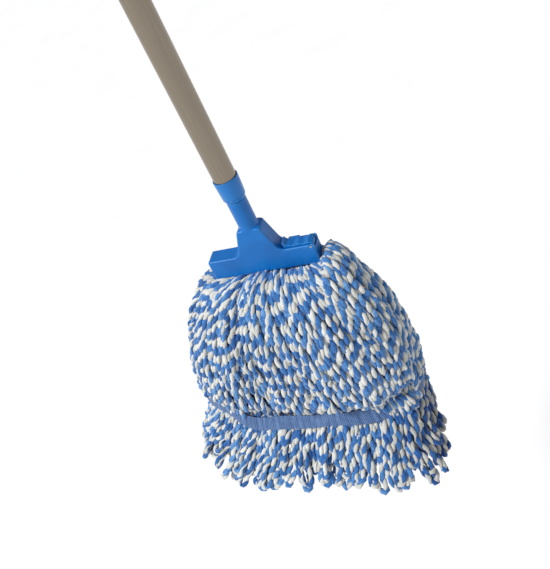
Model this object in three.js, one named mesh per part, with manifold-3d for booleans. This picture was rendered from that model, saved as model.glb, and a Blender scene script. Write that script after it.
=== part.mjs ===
// A wet string mop, hung by its handle: +Z runs up the handle, +X along the yarn clamp, and -Y is
// the front. The origin is where a wall hook bears, at the top of the hanging slot. Millimetres.
import * as THREE from 'three';
import { mergeVertices } from 'three/addons/utils/BufferGeometryUtils.js';
import Module from 'manifold-3d';

// ---------------------------------------------------------------- driving dimensions
const gap = 0.3;                 // left between pieces that touch
const handleLength = 1400;       // top of the cap to the foot of the threaded ferrule
const tubeRadius = 12.5;
const tubeWall = 1.2;

const capAboveSlot = 8;
const slotHeight = 23;
const slotWidth = 13;
const capLength = 46;
const capRadius = 15;
const domeHeight = 12;
const spigotLength = 26;
const sleeveLength = 54;
const sleeveMouthRadius = 15.5;

const ferruleLength = 27;
const ferruleTopRadius = 13.9;
const ferruleWaistRadius = 12.9;
const ferruleFootRadius = 11.4;
const cupFloor = 3;
const stubRadius = 8.8;
const stubLength = 25;

const neckRadius = 11.1;
const neckLength = 37;
const bossHeight = 34.5;
const bossTopHalf = 13.4;
const bossFootHalf = 24.8;
const armHalf = 65;              // half the clamp's length
const armHeight = 27;
const armDepth = 22;
const wall = 3;
const edge = 1.2;                // rounding along the clamp's edges

const throatCeiling = -9;        // roof of the space that holds the yarn's header
const pocketFront = 4.7;         // front of the pocket that the rear jaw closes into
const jawPin = { x: -60.3, y: 7.9, radius: 1.25, knuckle: 2.8 };
const leverPin = { x: 60.3, z: -2.2, radius: 1.4, knuckle: 3.2 };
const leverStart = 28;           // the lever's free end, beside the boss
const leverFloor = -5.7;

const mouthHalfWidth = 62;       // the yarn where it leaves the clamp
const mouthHalfDepth = 11;
const fullHeight = -224;         // the skirt is at its widest, under the top of the arms
const flareTop = -239;           // it starts to spread again
const bandTop = -216;            // edges of the tail band
const bandFoot = -233;
const bandThickness = 1.6;
const gatherHeight = -212;       // the band draws the skirt's front and back in
const gatherDepth = 16;
const gatherAbove = 14;
const gatherBelow = 26;
const hemFoot = -298;
const skirtTurn = -5.5 * Math.PI / 180;

const cordRadius = 0.6;
const cardWidth = 26;
const cardLength = 46;
const cardThickness = 0.6;
const holeInset = 4;             // the card's hole, in from the corner's two edges

// ---------------------------------------------------------------- levels that follow
const capTop = capAboveSlot;
const capFoot = capTop - capLength;
const tubeTop = capFoot + 4;
const ferruleFoot = capTop - handleLength;
const tubeFoot = ferruleFoot + cupFloor + gap;
const neckTop = bossHeight + neckLength;                 // above the arms
const armTop = ferruleFoot - gap - neckTop;              // below the origin
const yarnTop = -armHeight - 2 * gap;

// ---------------------------------------------------------------- materials
const material = (color, roughness, metalness = 0) =>
  new THREE.MeshStandardMaterial({ color, roughness, metalness });
const bluePlastic = () => material(0x2a78c4, 0.45);
const steel = () => material(0xb9bcc0, 0.3, 1);
const aluminium = () => material(0xa39c90, 0.35, 0.9);
const yarnCloth = () => material(0x8fb0dc, 0.95);
const webbing = () => material(0x5570bd, 0.9);
const whiteCord = () => material(0xf0efea, 0.8);
const card = () => material(0xf2efe8, 0.7);

// ---------------------------------------------------------------- solids
const wasm = await Module();
wasm.setup();

const toSolid = (geometry) => {
  const bare = geometry.index ? geometry.toNonIndexed() : geometry.clone();
  bare.deleteAttribute('normal');
  bare.deleteAttribute('uv');
  const merged = mergeVertices(bare, 1e-4);
  return new wasm.Manifold(new wasm.Mesh({
    numProp: 3,
    vertProperties: new Float32Array(merged.attributes.position.array),
    triVerts: new Uint32Array(merged.index.array),
  }));
};

const toGeometry = (solid) => {
  const mesh = solid.getMesh();
  const geometry = new THREE.BufferGeometry();
  geometry.setAttribute('position', new THREE.BufferAttribute(mesh.vertProperties, 3));
  geometry.setIndex(new THREE.BufferAttribute(mesh.triVerts, 1));
  return geometry;
};

const joined = (...parts) => parts.reduce((sum, part) => sum.add(part));
const cutFrom = (body, ...tools) => tools.reduce((rest, tool) => rest.subtract(tool), body);

// A box given by its low and high corners.
const box = ([x0, y0, z0], [x1, y1, z1]) => {
  const geometry = new THREE.BoxGeometry(x1 - x0, y1 - y0, z1 - z0);
  geometry.translate((x0 + x1) / 2, (y0 + y1) / 2, (z0 + z1) / 2);
  return toSolid(geometry);
};

// A profile of [radius, height] points turned about the Z axis.
const turned = (profile, segments = 40) => {
  const points = profile.map(([radius, height]) => new THREE.Vector2(radius, height));
  return new THREE.LatheGeometry(points, segments).rotateX(Math.PI / 2);
};

const closed = (profile) => [...profile, profile[0]];

const uprightPin = (x, y, radius, foot, top) =>
  toSolid(turned([[0, foot], [radius, foot], [radius, top], [0, top]], 20).translate(x, y, 0));

const crossPin = (x, z, radius, front, back) => {
  const pin = turned([[0, -back], [radius, -back], [radius, -front], [0, -front]], 20);
  return toSolid(pin.rotateX(Math.PI / 2).translate(x, 0, z));
};

// A closed outline whose corners are rounded: each point is [x, z, radius].
const roundedShape = (corners) => {
  const shape = new THREE.Shape();
  corners.forEach(([x, z, radius], index) => {
    const here = new THREE.Vector2(x, z);
    const before = corners.at(index - 1);
    const after = corners[(index + 1) % corners.length];
    const inward = new THREE.Vector2(before[0], before[1]).sub(here).setLength(radius).add(here);
    const outward = new THREE.Vector2(after[0], after[1]).sub(here).setLength(radius).add(here);
    if (index === 0) {
      shape.moveTo(inward.x, inward.y);
    } else {
      shape.lineTo(inward.x, inward.y);
    }
    shape.quadraticCurveTo(x, z, outward.x, outward.y);
  });
  shape.closePath();
  return shape;
};

// An XZ outline carried from the front plane to the back plane, its rims rounded by bevel.
const extruded = (shape, front, back, bevel = 0, curveSegments = 4) => {
  const geometry = new THREE.ExtrudeGeometry(shape, {
    depth: back - front - 2 * bevel,
    curveSegments,
    bevelEnabled: bevel > 0,
    bevelThickness: bevel,
    bevelSize: bevel,
    bevelOffset: -bevel,
    bevelSegments: 2,
  });
  return geometry.rotateX(Math.PI / 2).translate(0, back - bevel, 0);
};

const named = (name, geometry, finish) => {
  const mesh = new THREE.Mesh(geometry, finish);
  mesh.name = name;
  return mesh;
};

// ---------------------------------------------------------------- handle
const handleTube = () => {
  const inner = tubeRadius - tubeWall;
  const wallProfile = [[inner, tubeFoot], [tubeRadius, tubeFoot], [tubeRadius, tubeTop], [inner, tubeTop]];
  return named('handle_tube', turned(closed(wallProfile), 48), aluminium());
};

const gripSleeve = () => {
  const bore = tubeRadius + gap;
  const top = capFoot - gap;
  const foot = top - sleeveLength;
  const profile = [
    [bore, foot], [sleeveMouthRadius - 0.8, foot], [sleeveMouthRadius, foot + 0.8],
    [capRadius, top - 0.5], [capRadius - 0.4, top], [bore, top],
  ];
  return named('grip_sleeve', turned(closed(profile), 48), bluePlastic());
};

const hangerCap = () => {
  const spigot = tubeRadius - tubeWall - gap;
  const recess = tubeRadius + gap;
  const domeSteps = 10;
  const profile = [
    [0, tubeTop - spigotLength], [spigot, tubeTop - spigotLength], [spigot, tubeTop + gap],
    [recess, tubeTop + gap], [recess, capFoot], [capRadius - 0.4, capFoot], [capRadius, capFoot + 0.5],
  ];
  for (let step = 0; step <= domeSteps; step++) {
    const angle = step / domeSteps * Math.PI / 2;
    const radius = step === domeSteps ? 0 : capRadius * Math.cos(angle);
    profile.push([radius, capTop - domeHeight + domeHeight * Math.sin(angle)]);
  }
  const half = slotWidth / 2;
  const arch = new THREE.Shape();
  arch.moveTo(-half, -slotHeight);
  arch.lineTo(half, -slotHeight);
  arch.lineTo(half, -half);
  arch.absarc(0, -half, half, 0, Math.PI, false);
  arch.closePath();
  const slot = toSolid(extruded(arch, -capRadius - 5, capRadius + 5, 0, 14));
  return named('hanger_cap', toGeometry(cutFrom(toSolid(turned(profile, 48)), slot)), bluePlastic());
};

const threadFerrule = () => {
  const top = ferruleFoot + ferruleLength;
  const bore = tubeRadius + gap;
  const profile = [
    [0, ferruleFoot - stubLength], [stubRadius - 1, ferruleFoot - stubLength],
    [stubRadius, ferruleFoot - stubLength + 1], [stubRadius, ferruleFoot],
    [ferruleFootRadius, ferruleFoot], [ferruleWaistRadius, ferruleFoot + 0.2 * ferruleLength],
    [ferruleTopRadius, top - 0.6], [ferruleTopRadius - 0.4, top], [bore, top],
    [bore, ferruleFoot + cupFloor], [0, ferruleFoot + cupFloor],
  ];
  return named('thread_ferrule', turned(profile, 48), bluePlastic());
};

// ---------------------------------------------------------------- clamp, in the arms' frame
const holderBody = () => {
  const outline = roundedShape([
    [-armHalf, -armHeight, 2], [armHalf, -armHeight, 2], [armHalf, 0, 2.5],
    [bossFootHalf, 0, 7], [bossTopHalf, bossHeight, 3],
    [-bossTopHalf, bossHeight, 3], [-bossFootHalf, 0, 7], [-armHalf, 0, 2.5],
  ]);
  const front = -armDepth / 2;
  const back = armDepth / 2;
  const body = toSolid(extruded(outline, front, back, edge));
  const neck = toSolid(turned([[0, bossHeight - 2], [neckRadius, bossHeight - 2],
    [neckRadius, neckTop - 0.5], [neckRadius - 0.5, neckTop], [0, neckTop]], 48));
  const socketRadius = stubRadius + 0.4;
  const socketFoot = neckTop - stubLength - 2;
  const socket = toSolid(turned([[0, socketFoot], [socketRadius, socketFoot],
    [socketRadius, neckTop + 1], [0, neckTop + 1]]));
  const lugTop = -armHeight + wall;
  const lugEnd = jawPin.x + jawPin.knuckle + 1.4;
  const blockStart = leverPin.x - leverPin.knuckle - 1.1;
  const throat = box([wall - armHalf, wall + front, -armHeight - 1],
    [armHalf - wall, pocketFront + 1, throatCeiling]);
  const pockets = [
    box([-armHalf - 1, pocketFront, lugTop], [lugEnd + 0.1, back + 1, -wall]),
    box([lugEnd, pocketFront, -armHeight - 1], [blockStart, back + 1, -wall]),
    box([blockStart - 0.1, pocketFront, -armHeight - 1], [armHalf + 1, back + 1, throatCeiling]),
  ];
  const leverBed = [
    box([leverStart - 1.5, wall + front, leverFloor], [blockStart, back + 1, 12]),
    box([blockStart - 0.1, wall + front, leverFloor], [armHalf + 1, back - wall, 12]),
  ];
  const holes = [
    uprightPin(jawPin.x, jawPin.y, jawPin.radius + gap, -armHeight - 1, -1),
    crossPin(leverPin.x, leverPin.z, leverPin.radius + gap, front - 1, back + 1),
  ];
  const solid = cutFrom(joined(body, neck), socket, throat, ...pockets, ...leverBed, ...holes);
  return named('holder_body', toGeometry(solid), bluePlastic());
};

const rearJaw = () => {
  const back = armDepth / 2;
  const inner = pocketFront + gap;
  const start = jawPin.x + jawPin.knuckle + 3.1;      // swings clear of the lug under the pin
  const blockStart = leverPin.x - leverPin.knuckle - 1.4;
  const foot = -armHeight;
  const plateOutline = roundedShape([
    [start, foot, 1], [armHalf - gap, foot, 1.5], [armHalf - gap, throatCeiling - gap, 1],
    [blockStart, throatCeiling - gap, 1], [blockStart, -1.3, 1], [leverStart + 2, -1.3, 1],
    [leverStart - 1, -wall - gap, 1], [start, -wall - gap, 1],
  ]);
  const plate = toSolid(extruded(plateOutline, inner, back, 0.6));
  const lugClear = -armHeight + wall + gap;
  const knuckle = uprightPin(jawPin.x, jawPin.y, jawPin.knuckle, lugClear, -wall - gap);
  const web = box([jawPin.x, inner + 0.3, lugClear], [start + 2, back - 0.4, -wall - gap]);
  const ribs = [-13, -20].map((height) => {
    const rib = new THREE.BoxGeometry(2 * (armHalf - wall - 8), 1.8, 1.8).rotateX(Math.PI / 4);
    return toSolid(rib.translate(0, inner + 0.2, height));
  });
  const bore = uprightPin(jawPin.x, jawPin.y, jawPin.radius + gap, foot - 1, 0);
  const solid = cutFrom(joined(plate, knuckle, web, ...ribs), bore);
  return named('rear_jaw', toGeometry(solid), bluePlastic());
};

const releaseLever = () => {
  const front = wall - armDepth / 2 + gap;
  const back = pocketFront;
  const { x: pinX, z: pinZ, knuckle } = leverPin;
  const crest = 2.7;
  const profile = new THREE.Shape();
  profile.moveTo(pinX, pinZ - knuckle);
  profile.absarc(pinX, pinZ, knuckle, -Math.PI / 2, Math.PI / 2 - 0.2, false);
  const waveStart = pinX - 2;
  const waveEnd = leverStart + 7;
  const waveSteps = 20;
  for (let step = 0; step <= waveSteps; step++) {
    const share = step / waveSteps;
    const ripple = 0.7 * Math.cos(share * 4 * Math.PI);
    profile.lineTo(waveStart + (waveEnd - waveStart) * share, crest + ripple - 0.7);
  }
  profile.quadraticCurveTo(leverStart + 4, crest + 0.4, leverStart + 2.6, crest + 4.4);
  profile.lineTo(leverStart + 0.8, crest + 4.2);
  profile.quadraticCurveTo(leverStart + 1.4, crest - 2, leverStart + 0.4, leverFloor + 2.2);
  profile.lineTo(leverStart + 1.6, leverFloor + gap);
  profile.closePath();
  const plate = toSolid(extruded(profile, front, back, 0.5, 10));
  const heel = box([leverStart + 5, back - 1, -1], [leverStart + 18, back + 4.6, 1.6]);
  const bore = crossPin(pinX, pinZ, leverPin.radius + gap, front - 1, back + 1);
  return named('release_lever', toGeometry(cutFrom(joined(plate, heel), bore)), bluePlastic());
};

const jawPinMesh = () => named('jaw_pin',
  toGeometry(uprightPin(jawPin.x, jawPin.y, jawPin.radius, -armHeight + 0.3, -1.3)), steel());

const leverPinMesh = () => named('lever_pin', toGeometry(
  crossPin(leverPin.x, leverPin.z, leverPin.radius, 0.3 - armDepth / 2, armDepth / 2 - 0.3)), steel());

// ---------------------------------------------------------------- yarn, in the arms' frame
const headerEnd = armHalf - wall - 1;
const headerFront = -6.4;
const headerBack = 3.4;
const tapeThickness = 0.9;

const headerTape = () => {
  const top = throatCeiling - 2 * gap;
  const foot = -armHeight + 3;
  const outer = box([-headerEnd, headerFront, foot], [headerEnd, headerBack, top]);
  const inside = tapeThickness;
  const hollow = box([-headerEnd - 1, headerFront + inside, foot - 1],
    [headerEnd + 1, headerBack - inside, top - inside]);
  return named('header_tape', toGeometry(cutFrom(outer, hollow)), webbing());
};

const headerYarn = () => {
  const inside = tapeThickness + gap;
  const top = throatCeiling - 2 * gap - inside;
  return named('header_yarn', toGeometry(box([-headerEnd, headerFront + inside, -armHeight - 0.3],
    [headerEnd, headerBack - inside, top])), yarnCloth());
};

// The yarn's outer section at a height: a squared ellipse that widens from the clamp's mouth, is
// drawn in at the tail band, and spreads again below it.
const skirtAt = (height) => {
  const fall = THREE.MathUtils.clamp((yarnTop - height) / (yarnTop - fullHeight), 0, 1);
  const spread = THREE.MathUtils.clamp((flareTop - height) / (flareTop - hemFoot), 0, 1);
  const swell = (power) => Math.sin(Math.PI / 2 * Math.pow(fall, power));
  const reach = height > gatherHeight ? gatherAbove : gatherBelow;
  const gather = gatherDepth * Math.exp(-(((height - gatherHeight) / reach) ** 2));
  return {
    halfWidth: mouthHalfWidth + 96 * swell(0.55) + 26 * Math.pow(spread, 1.4),
    halfDepth: mouthHalfDepth + 75 * swell(0.45) + 40 * Math.pow(spread, 1.5) - gather,
    middleX: -16 * fall - 4 * spread,
    middleY: -6 * fall - 6 * spread,
    power: 2 / (2.3 + 0.5 * fall + 0.2 * spread),
  };
};

// A turned profile of [fraction of the radius, height, inset], stretched to the yarn's section.
const skirtSolid = (profile) => {
  const geometry = turned(profile, 44);
  const position = geometry.attributes.position;
  for (let index = 0; index < position.count; index++) {
    const row = profile[index % profile.length];
    const height = row[1];
    const angle = Math.atan2(position.getY(index), position.getX(index));
    const { halfWidth, halfDepth, middleX, middleY, power } = skirtAt(height);
    const bend = (value) => Math.sign(value) * Math.pow(Math.abs(value), power);
    const share = row[0] === 0 ? 0 : 1;
    const inset = row[2] ?? 0;
    position.setX(index, middleX + share * (halfWidth - inset) * bend(Math.cos(angle)));
    position.setY(index, middleY + share * (halfDepth - inset) * bend(Math.sin(angle)));
  }
  return toSolid(geometry);
};

// The front and back halves of a skirt solid, with a gap between them.
const halves = (name, solid, finish) => {
  const far = 400;
  return [['front', -far, -gap / 2], ['back', gap / 2, far]].map(([side, low, high]) => {
    const cutter = box([-far, low, hemFoot - 10], [far, high, 0]);
    const mesh = named(`${name}_${side}`, toGeometry(solid.intersect(cutter)), finish());
    mesh.rotation.z = skirtTurn;
    return mesh;
  });
};

const steps = (from, to, count) =>
  Array.from({ length: count + 1 }, (_, index) => from + (to - from) * index / count);

const yarnHalves = () => {
  const drop = gatherHeight + 2 * gatherAbove - yarnTop;
  const heights = steps(0, 1, 6).map((share) => yarnTop + drop * share ** 1.5);
  const drawnIn = [gatherHeight + gatherAbove, gatherHeight + gatherAbove / 2, bandTop + gap];
  const side = [...heights, ...drawnIn].map((height) => [1, height]);
  return halves('yarn', skirtSolid([[0, yarnTop], ...side, [0, bandTop + gap]].reverse()), yarnCloth);
};

const bandHalves = () => {
  const profile = [
    [0.9, bandFoot, bandThickness], [1, bandFoot], [1, bandTop], [0.9, bandTop, bandThickness],
  ];
  return halves('tail_band', skirtSolid(closed(profile)), webbing);
};

const fringeHalves = () => {
  const tucked = bandThickness + gap;
  const below = bandFoot - gap;
  const side = steps(below, hemFoot, 4).map((height) => [1, height]).reverse();
  const profile = [
    [0, hemFoot], ...side, [0.9, below, tucked], [0.9, bandTop, tucked], [0, bandTop],
  ];
  return halves('fringe', skirtSolid(profile), yarnCloth);
};

// ---------------------------------------------------------------- swing tag, in the handle's frame
const eyelet = new THREE.Vector3(24, 19, -50);
const cordRoute = [
  [24, 19.4, -50], [24, 21.6, -48.8], [22.4, 22.2, -44.4], [16.4, 20.8, -35], [9.4, 18.8, -27],
  [4.8, 15.6, -22.4], [4, 9, -21.6], [4, 0, -21.6], [4, -9, -21.6], [4.8, -15.6, -22],
  [9.4, -19, -23.4], [17, -17.2, -26.4], [23.6, -9.4, -31.4], [26.8, 1, -38.2],
  [26.8, 9.6, -45], [25.4, 15.4, -49.2], [24, 18.6, -50],
];

const tagCord = () => {
  const route = new THREE.CatmullRomCurve3(cordRoute.map((point) => new THREE.Vector3(...point)));
  const section = new THREE.Shape();
  section.absarc(0, 0, cordRadius, 0, 2 * Math.PI, false);
  const geometry = new THREE.ExtrudeGeometry(section, {
    steps: 56, curveSegments: 8, extrudePath: route, bevelEnabled: false,
  });
  return named('tag_cord', toGeometry(toSolid(geometry)), whiteCord());
};

const tagCard = () => {
  const halfWidth = cardWidth / 2;
  const halfLength = cardLength / 2;
  const holeX = holeInset - halfWidth;
  const holeY = halfLength - holeInset;
  const outline = roundedShape([[-halfWidth, -halfLength, 1], [halfWidth, -halfLength, 1],
    [halfWidth, halfLength, 1], [-halfWidth, halfLength, 1]]);
  const hole = new THREE.Path();
  hole.absarc(holeX, holeY, 2.6, 0, 2 * Math.PI, true);
  outline.holes.push(hole);
  const mesh = named('tag_card', extruded(outline, -cardThickness / 2, cardThickness / 2, 0, 8), card());
  mesh.geometry.translate(-holeX, 0, -holeY);
  mesh.rotation.y = Math.atan2(-holeX, holeY);       // the corner hole hangs over the card's middle
  mesh.position.copy(eyelet);
  return mesh;
};

const tagEyelet = () => {
  const barrel = 2.3;
  const bore = 1.7;
  const flange = 3.3;
  const side = cardThickness / 2 + gap;
  const rim = side + 0.5;
  const profile = [[bore, -rim], [flange, -rim], [flange, -side], [barrel, -side],
    [barrel, side], [flange, side], [flange, rim], [bore, rim]];
  const mesh = named('tag_eyelet', turned(closed(profile), 20), steel());
  mesh.rotation.x = Math.PI / 2;
  mesh.position.copy(eyelet);
  return mesh;
};

// ---------------------------------------------------------------- the whole mop
const mop = new THREE.Group();
mop.add(handleTube(), gripSleeve(), hangerCap(), threadFerrule());
mop.add(tagCord(), tagCard(), tagEyelet());

const head = new THREE.Group();
head.position.z = armTop;
head.add(holderBody(), rearJaw(), releaseLever(), jawPinMesh(), leverPinMesh());
head.add(headerTape(), headerYarn(), ...yarnHalves(), ...bandHalves(), ...fringeHalves());
mop.add(head);

export default mop;
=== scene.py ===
# %% [markdown]
# # A string mop
# The mop hangs by the slot in its handle's cap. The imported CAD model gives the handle, the clamp and
# plain solids for the yarn, and this lesson keeps every one of those places. It gives the hard pieces
# their moulded edges and finishes, and makes the yarn, the sewn bands and the tag as what they are.

# %% Load the frame
import math

import bpy
import numpy as np
from mathutils import Matrix, Vector


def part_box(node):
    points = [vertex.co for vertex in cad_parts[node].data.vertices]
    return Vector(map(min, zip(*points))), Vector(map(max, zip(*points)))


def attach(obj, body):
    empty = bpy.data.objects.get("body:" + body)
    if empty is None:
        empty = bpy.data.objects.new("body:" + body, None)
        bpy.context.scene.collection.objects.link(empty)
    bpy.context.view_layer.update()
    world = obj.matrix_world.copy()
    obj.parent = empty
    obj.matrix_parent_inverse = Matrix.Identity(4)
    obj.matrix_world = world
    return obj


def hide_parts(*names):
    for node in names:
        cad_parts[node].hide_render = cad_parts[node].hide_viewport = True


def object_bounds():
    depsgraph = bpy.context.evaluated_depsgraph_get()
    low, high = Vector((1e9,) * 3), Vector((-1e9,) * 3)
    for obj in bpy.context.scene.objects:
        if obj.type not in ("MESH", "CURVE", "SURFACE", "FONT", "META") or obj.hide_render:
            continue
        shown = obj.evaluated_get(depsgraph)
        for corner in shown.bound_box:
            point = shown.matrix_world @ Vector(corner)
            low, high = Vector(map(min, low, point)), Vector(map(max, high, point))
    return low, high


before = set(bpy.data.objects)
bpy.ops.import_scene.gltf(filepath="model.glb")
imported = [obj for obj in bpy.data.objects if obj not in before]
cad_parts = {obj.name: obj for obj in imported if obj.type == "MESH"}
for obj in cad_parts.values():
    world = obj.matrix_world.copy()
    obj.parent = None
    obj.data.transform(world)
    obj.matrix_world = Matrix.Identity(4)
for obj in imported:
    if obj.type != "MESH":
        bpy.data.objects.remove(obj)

cad_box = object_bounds()
MM = 0.001
weld_distance = 0.005 * MM
print("CAD box", [[round(v, 4) for v in corner] for corner in cad_box])

# %% [markdown]
# ## Where things are
# Every place comes from the CAD boxes. The clamp's arms are the yarn's reference, so heights in the
# head are counted in millimetres below the top of the arms, which is one neck and one boss below the
# ferrule. The yarn comes out under the arms, a sewn band holds it above the hem, and a fringe ends it.

# %% Reference places
neck_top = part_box("holder_body")[1][2]
neck_and_boss = 71.5
arm_top = neck_top - neck_and_boss * MM


def below_arms(height):
    return (height - arm_top) / MM


yarn_top = below_arms(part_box("yarn_front")[1][2])
band_low, band_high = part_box("tail_band_front")
band_top, band_foot = below_arms(band_high[2]), below_arms(band_low[2])
hem_foot = below_arms(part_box("fringe_front")[0][2])
print("arm top", round(arm_top, 4), "yarn", round(yarn_top, 1), "band", round(band_top, 1),
      round(band_foot, 1), "hem", round(hem_foot, 1))

# %% [markdown]
# ## Camera
# A studio shot looks down on the head from the front right, with the handle leaning to the left. The
# lean is a roll of the camera, because the mop itself hangs plumb. Azimuth, elevation and roll turn
# into three axes: right, up, and toward the camera. The camera could be aimed with a constraint, but
# a matrix of those axes holds the roll as well and leaves nothing live in the scene.

# %% Camera
azimuth, elevation, roll = (math.radians(a) for a in (28.03, 38.40, 27.10))
toward = Vector((math.sin(azimuth) * math.cos(elevation), -math.cos(azimuth) * math.cos(elevation),
                 math.sin(elevation)))
level_right = Vector((math.cos(azimuth), math.sin(azimuth), 0))
level_up = toward.cross(level_right)
right = level_right * math.cos(roll) - level_up * math.sin(roll)
up = level_up * math.cos(roll) + level_right * math.sin(roll)
from_arms = Vector((0.265014, -0.506821, 0.397356))
place = Vector((0, 0, arm_top)) + from_arms
camera_data = bpy.data.cameras.new("studio_camera")
camera_data.sensor_width = 36
camera_data.lens = 39.23
camera = bpy.data.objects.new("studio_camera", camera_data)
bpy.context.collection.objects.link(camera)
camera.matrix_world = Matrix([[right[i], up[i], toward[i], place[i]] for i in range(3)]
                             + [[0, 0, 0, 1]])
bpy.context.scene.camera = camera
print("camera at", [round(v, 3) for v in place])

# %% [markdown]
# ## The tag's string
# A limp cotton string goes through the cap's hanging hole, round the cap and back to the tag's
# eyelet. It could be a chain of small links or a painted line, but a string bends as one smooth
# curve with a round section, so it is a bevelled curve through the same points as the CAD's string,
# which convert turns into a mesh. The points are joined by a smooth spline in fine steps, and those
# steps add up to its real length.

# %% Helper: a smooth path through points
def smooth_path(points, step):
    """Catmull-Rom points about step apart, with knots that keep tight bends smooth."""
    points = [Vector(p) for p in points]
    ends = [points[0] * 2 - points[1], *points, points[-1] * 2 - points[-2]]
    path = []
    for a, b, c, d in zip(ends, ends[1:], ends[2:], ends[3:]):
        knots = [0.0]
        for p, q in ((a, b), (b, c), (c, d)):
            knots.append(knots[-1] + max((q - p).length, 1e-9) ** 0.5)
        pieces = max(2, round((c - b).length / step))
        for k in range(pieces):
            t = knots[1] + (knots[2] - knots[1]) * k / pieces

            def mix(p, q, low, high):
                return p * ((high - t) / (high - low)) + q * ((t - low) / (high - low))

            ab, bc = mix(a, b, knots[0], knots[1]), mix(b, c, knots[1], knots[2])
            cd = mix(c, d, knots[2], knots[3])
            abc, bcd = mix(ab, bc, knots[0], knots[2]), mix(bc, cd, knots[1], knots[3])
            path.append(mix(abc, bcd, knots[1], knots[2]))
    return path + [points[-1]]


# %% Helper: one piece chosen alone
def deselect_all():
    bpy.ops.object.select_all(action="DESELECT")


def chosen(piece):
    deselect_all()
    piece.select_set(True)
    bpy.context.view_layer.objects.active = piece


# %% The string's path
string_route = [
    (24, 19.4, -50), (24, 21.6, -48.8), (22.4, 22.2, -44.4), (16.4, 20.8, -35), (9.4, 18.8, -27),
    (4.8, 15.6, -22.4), (4, 9, -21.6), (4, 0, -21.6), (4, -9, -21.6), (4.8, -15.6, -22),
    (9.4, -19, -23.4), (17, -17.2, -26.4), (23.6, -9.4, -31.4), (26.8, 1, -38.2), (26.8, 9.6, -45),
    (25.4, 15.4, -49.2), (24, 18.6, -50)]
string_diameter = 1.2 * MM
string_path = smooth_path([Vector(p) * MM for p in string_route], 1.5 * MM)

# %% The string
string_curve = bpy.data.curves.new("tag_string", "CURVE")
string_curve.dimensions = "3D"
string_curve.bevel_depth = string_diameter / 2
string_curve.bevel_resolution = 2
string_curve.use_fill_caps = True
spline = string_curve.splines.new("POLY")
spline.points.add(len(string_path) - 1)
for point, co in zip(spline.points, string_path):
    point.co = (*co, 1)
tag_string = bpy.data.objects.new("tag_string", string_curve)
bpy.context.collection.objects.link(tag_string)
chosen(tag_string)
bpy.ops.object.convert(target="MESH")
tag_string = bpy.context.view_layer.objects.active
bpy.ops.object.mode_set(mode="EDIT")
bpy.ops.mesh.select_all(action="SELECT")
bpy.ops.mesh.remove_doubles(threshold=weld_distance)
bpy.ops.mesh.normals_make_consistent(inside=False)
bpy.ops.object.mode_set(mode="OBJECT")
bpy.ops.object.shade_smooth_by_angle(angle=math.radians(60))
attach(tag_string, "tag")
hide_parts("tag_cord")
print(tag_string.name, len(tag_string.data.polygons), "faces")

# %% [markdown]
# ## Finishes
# Each finish is a small node tree on Object coordinates, so a pattern stays on its piece when a joint
# moves. One helper makes the shader, whose plain numbers sit on its own sockets, and the others add
# one node each: a noise, a colour ramp, or the bump that lets light catch the noise.

# %% Helper: a material with its shader
def finish_material(name, **sockets):
    material = bpy.data.materials.new(name)
    material.use_nodes = True
    tree = material.node_tree
    shader = tree.nodes["Principled BSDF"]
    for socket, value in sockets.items():
        shader.inputs[socket.replace("_", " ")].default_value = value
    return material, tree, shader


# %% Helpers: nodes
def node(tree, kind, **settings):
    made = tree.nodes.new("ShaderNode" + kind)
    for key, value in settings.items():
        if hasattr(made, key) and key not in made.inputs:
            setattr(made, key, value)
        else:
            made.inputs[key].default_value = value
    return made


def noise(tree, scale, detail=3.0, vector=None, stretch=None, slant=0.0):
    coordinates = vector or node(tree, "TexCoord").outputs["Object"]
    if stretch:
        mapping = node(tree, "Mapping")
        mapping.inputs["Scale"].default_value = stretch
        mapping.inputs["Rotation"].default_value[2] = slant
        tree.links.new(coordinates, mapping.inputs["Vector"])
        coordinates = mapping.outputs["Vector"]
    texture = node(tree, "TexNoise")
    texture.inputs["Scale"].default_value = scale
    texture.inputs["Detail"].default_value = detail
    tree.links.new(coordinates, texture.inputs["Vector"])
    return texture.outputs["Fac"]


def ramp(tree, value, stops):
    """A colour ramp: stops are (position, colour) in linear colour."""
    made = node(tree, "ValToRGB")
    elements = made.color_ramp.elements
    while len(elements) < len(stops):
        elements.new(0.5)
    for element, (position, colour) in zip(elements, stops):
        element.position = position
        element.color = (*colour, 1)
    tree.links.new(value, made.inputs["Fac"])
    return made.outputs["Color"]


def bump(tree, shader, height, strength, distance):
    made = node(tree, "Bump")
    made.inputs["Strength"].default_value = strength
    made.inputs["Distance"].default_value = distance
    tree.links.new(height, made.inputs["Height"])
    tree.links.new(made.outputs["Normal"], shader.inputs["Normal"])
    return made


def srgb(code):
    """Linear colour of a six-digit colour code."""
    parts = [int(code[i:i + 2], 16) / 255 for i in (0, 2, 4)]
    return tuple(c / 12.92 if c <= 0.04045 else ((c + 0.055) / 1.055) ** 2.4 for c in parts)


# %% [markdown]
# ### Moulded plastic
# The clamp, the collar and the grip are injection moulded in one blue, with a low satin gloss. The
# mould's skin is slightly uneven and the colour drifts a little. The edges get a painted highlight: a
# paler blue, as if light caught them. It goes on every edge alike, so the material finds the edges by
# how pointed the surface is: 0.5 is flat, and a moulded edge is a little more.

# %% Plastic
# Painted highlight: how pointed an edge must be to start and to end paler, and how far toward the pale
# blue it goes.
edge_starts, edge_fully_highlit, most_edge_highlight = 0.508, 0.56, 0.8


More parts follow.
